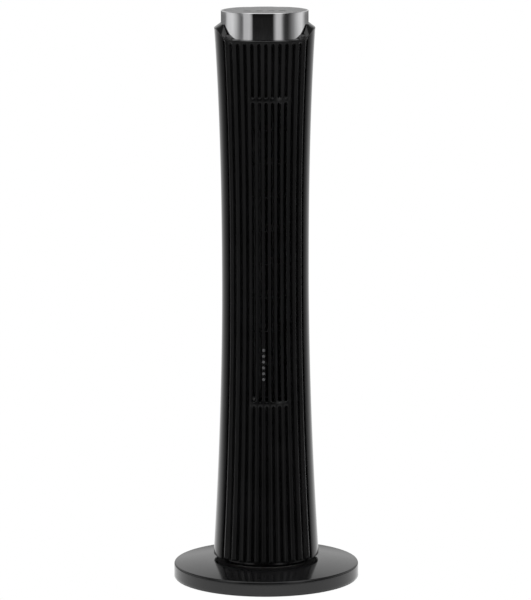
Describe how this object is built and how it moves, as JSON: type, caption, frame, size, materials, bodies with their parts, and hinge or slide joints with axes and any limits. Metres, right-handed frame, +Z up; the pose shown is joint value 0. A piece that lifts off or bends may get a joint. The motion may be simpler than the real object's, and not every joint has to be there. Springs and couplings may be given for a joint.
{
  "type": "tower fan",
  "caption": "Free-standing oscillating tower fan: waisted gloss black column with a ribbed air outlet, chrome cap with top controls, and a round weighted base.",
  "frame": {"origin": "middle of the underside of the foot pads, on the column's swing axis", "axes": "+Z up along the column, -Y out of the air outlet, +X to the right of a person who stands in front of the outlet"},
  "size_m": [0.325, 0.325, 1],
  "materials": {
    "gloss_black": "high gloss piano black, lightly moulded",
    "satin_black": "satin moulded black",
    "charcoal": "semi-gloss charcoal, mirrors the column softly",
    "chrome": "polished plated",
    "panel_grey": "satin mid grey",
    "lens_grey": "smoked translucent lens",
    "steel": "plain zinc-plated",
    "cast_iron": "as cast",
    "rubber": "matt",
    "white_plastic": "natural acetal",
    "circuit_board": "solder mask",
    "capacitor_case": "potted film capacitor case"
  },
  "bodies": {
    "base": {"base_cover": "charcoal", "base_bottom_plate": "satin_black", "ballast_ring": "cast_iron", "foot_pad_1": "rubber", "foot_pad_2": "rubber", "foot_pad_3": "rubber", "foot_pad_4": "rubber", "foot_pad_5": "rubber", "foot_pad_6": "rubber", "base_screw_1": "steel", "base_screw_2": "steel", "base_screw_3": "steel", "base_screw_4": "steel", "turntable_spindle": "steel", "slide_ring": "white_plastic", "swing_sector_gear": "white_plastic", "spindle_nut": "steel", "cord_grommet": "rubber"},
    "tower": {"rear_shell": "gloss_black", "rear_grille": "satin_black", "front_grille": "gloss_black", "indicator_lenses": "lens_grey", "shell_screw_1": "steel", "shell_screw_2": "steel", "shell_screw_3": "steel", "shell_screw_4": "steel", "cap_ring": "chrome", "top_panel": "panel_grey", "cap_carrier": "satin_black", "control_board": "circuit_board", "tower_floor": "satin_black", "swing_motor": "steel", "power_board": "circuit_board", "motor_capacitor": "capacitor_case", "duct_floor": "satin_black", "duct_roof": "satin_black", "scroll_wall": "satin_black", "tongue_wall": "satin_black", "upper_bush": "white_plastic", "main_motor": "steel", "motor_cage": "satin_black"},
    "wheel": {"wheel_segment_1": "satin_black", "wheel_segment_2": "satin_black", "wheel_segment_3": "satin_black", "wheel_segment_4": "satin_black", "wheel_segment_5": "satin_black", "wheel_segment_6": "satin_black", "wheel_segment_7": "satin_black", "wheel_segment_8": "satin_black", "wheel_segment_9": "satin_black", "wheel_hub": "rubber", "motor_shaft": "steel", "wheel_end_disc": "satin_black", "wheel_top_shaft": "steel"},
    "pinion": {"swing_pinion": "white_plastic"},
    "power_button": {"power_button": "satin_black"},
    "speed_button": {"speed_button": "satin_black"},
    "swing_button": {"swing_button": "satin_black"},
    "timer_button": {"timer_button": "satin_black"}
  },
  "joints": [
    {"name": "tower_swing", "type": "hinge", "parent": "base", "child": "tower", "pos_m": [0, 0, 0.042], "axis": [0, 0, 1], "range_deg": [-40, 40]},
    {"name": "wheel_spin", "type": "hinge", "parent": "tower", "child": "wheel", "pos_m": [0, 0.008, 0.325], "axis": [0, 0, 1], "continuous": true},
    {"name": "pinion_spin", "type": "hinge", "parent": "tower", "child": "pinion", "pos_m": [0, 0.045, 0.0578], "axis": [0, 0, 1], "range_deg": [-160, 160]},
    {"name": "power_button_press", "type": "slide", "parent": "tower", "child": "power_button", "axis": [0, 0, -1], "range_m": [0, 0.001], "stiffness_N_per_m": 400, "springref_m": -0.0003},
    {"name": "speed_button_press", "type": "slide", "parent": "tower", "child": "speed_button", "axis": [0, 0, -1], "range_m": [0, 0.001], "stiffness_N_per_m": 400, "springref_m": -0.0003},
    {"name": "swing_button_press", "type": "slide", "parent": "tower", "child": "swing_button", "axis": [0, 0, -1], "range_m": [0, 0.001], "stiffness_N_per_m": 400, "springref_m": -0.0003},
    {"name": "timer_button_press", "type": "slide", "parent": "tower", "child": "timer_button", "axis": [0, 0, -1], "range_m": [0, 0.001], "stiffness_N_per_m": 400, "springref_m": -0.0003}
  ],
  "couplings": [
    {"joint": "pinion_spin", "follows": "tower_swing", "ratio": 4}
  ]
}
